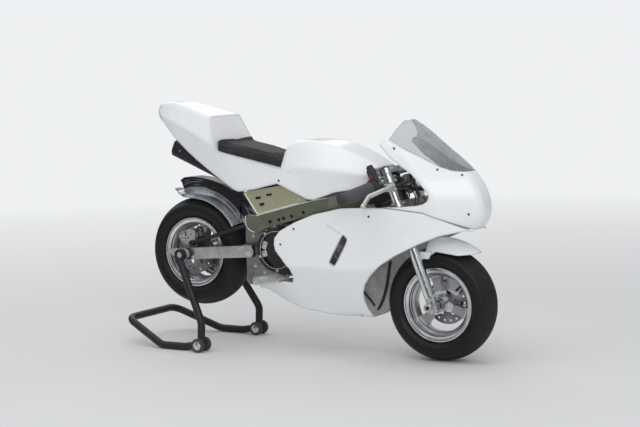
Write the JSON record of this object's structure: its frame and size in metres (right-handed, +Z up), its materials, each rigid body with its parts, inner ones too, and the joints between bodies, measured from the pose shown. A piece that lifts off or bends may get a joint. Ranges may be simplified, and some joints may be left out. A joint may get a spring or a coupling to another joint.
{
  "type": "pocket bike",
  "caption": "Small racing motorcycle with full fairing, solo seat and fat slick tyres, parked with its rear wheel raised on a paddock stand.",
  "frame": {"origin": "on the floor under the middle of the outline, stand included", "axes": "+X forward, +Y to the bike's left, +Z up"},
  "size_m": [1.0445, 0.382, 0.6472],
  "materials": {
    "white_bodywork": "glossy white moulded shell",
    "smoke_screen": "clear grey tint",
    "seat_foam": "matt black grained cover",
    "tyre_rubber": "slick",
    "cast_aluminium": "satin, turned lips",
    "frame_aluminium": "brushed plate",
    "panel_plate": "yellowish satin plate",
    "bright_steel": "zinc plated",
    "chrome_tube": "polished",
    "engine_alloy": "cast",
    "black_paint": "gloss black",
    "black_plastic": "matt black",
    "grip_rubber": "ribbed",
    "grey_paint": "satin grey",
    "roller_rubber": "hard rollers"
  },
  "bodies": {
    "chassis": {"engine": "engine_alloy", "starter_housing": "black_plastic", "clutch_housing": "engine_alloy", "front_sprocket": "bright_steel", "chain": "bright_steel", "swingarm": "frame_aluminium", "rear_axle": "bright_steel", "frame": "frame_aluminium", "pivot_plates": "frame_aluminium", "pivot_bolt": "bright_steel", "side_panels": "panel_plate", "seat_tank_unit": "white_bodywork", "seat_pad": "seat_foam", "upper_fairing": "white_bodywork", "windscreen": "smoke_screen", "lower_fairing_right": "white_bodywork", "lower_fairing_left": "white_bodywork", "fairing_bracket": "bright_steel", "rear_mudguard": "grey_paint", "footpegs": "bright_steel", "rear_brake_caliper": "cast_aluminium", "torque_rod": "black_paint", "silencer": "black_paint", "exhaust_pipe": "bright_steel", "stand_frame": "black_paint", "stand_rollers": "roller_rubber"},
    "steering": {"bottom_yoke": "frame_aluminium", "top_yoke": "frame_aluminium", "steering_stem": "bright_steel", "fork_leg_right": "chrome_tube", "fork_leg_left": "chrome_tube", "front_axle": "bright_steel", "front_brake_caliper": "cast_aluminium", "clip_ons": "frame_aluminium", "grips": "grip_rubber", "lever_perches": "frame_aluminium", "brake_levers": "chrome_tube", "kill_switch": "black_plastic", "front_mudguard": "white_bodywork"},
    "front_wheel": {"front_tyre": "tyre_rubber", "front_rim": "cast_aluminium", "front_brake_disc": "bright_steel"},
    "rear_wheel": {"rear_tyre": "tyre_rubber", "rear_rim": "cast_aluminium", "rear_brake_disc": "bright_steel", "rear_sprocket": "frame_aluminium"}
  },
  "joints": [
    {"name": "steering_turn", "type": "hinge", "parent": "chassis", "child": "steering", "pos_m": [0.37098, 0, 0.13648], "axis": [-0.3453, 0, 0.9385], "range_deg": [-15, 15]},
    {"name": "front_wheel_spin", "type": "hinge", "parent": "steering", "child": "front_wheel", "pos_m": [0.386, 0, 0.142], "axis": [0, 1, 0], "continuous": true},
    {"name": "rear_wheel_spin", "type": "hinge", "parent": "chassis", "child": "rear_wheel", "pos_m": [-0.326, 0, 0.2475], "axis": [0, 1, 0], "continuous": true}
  ]
}
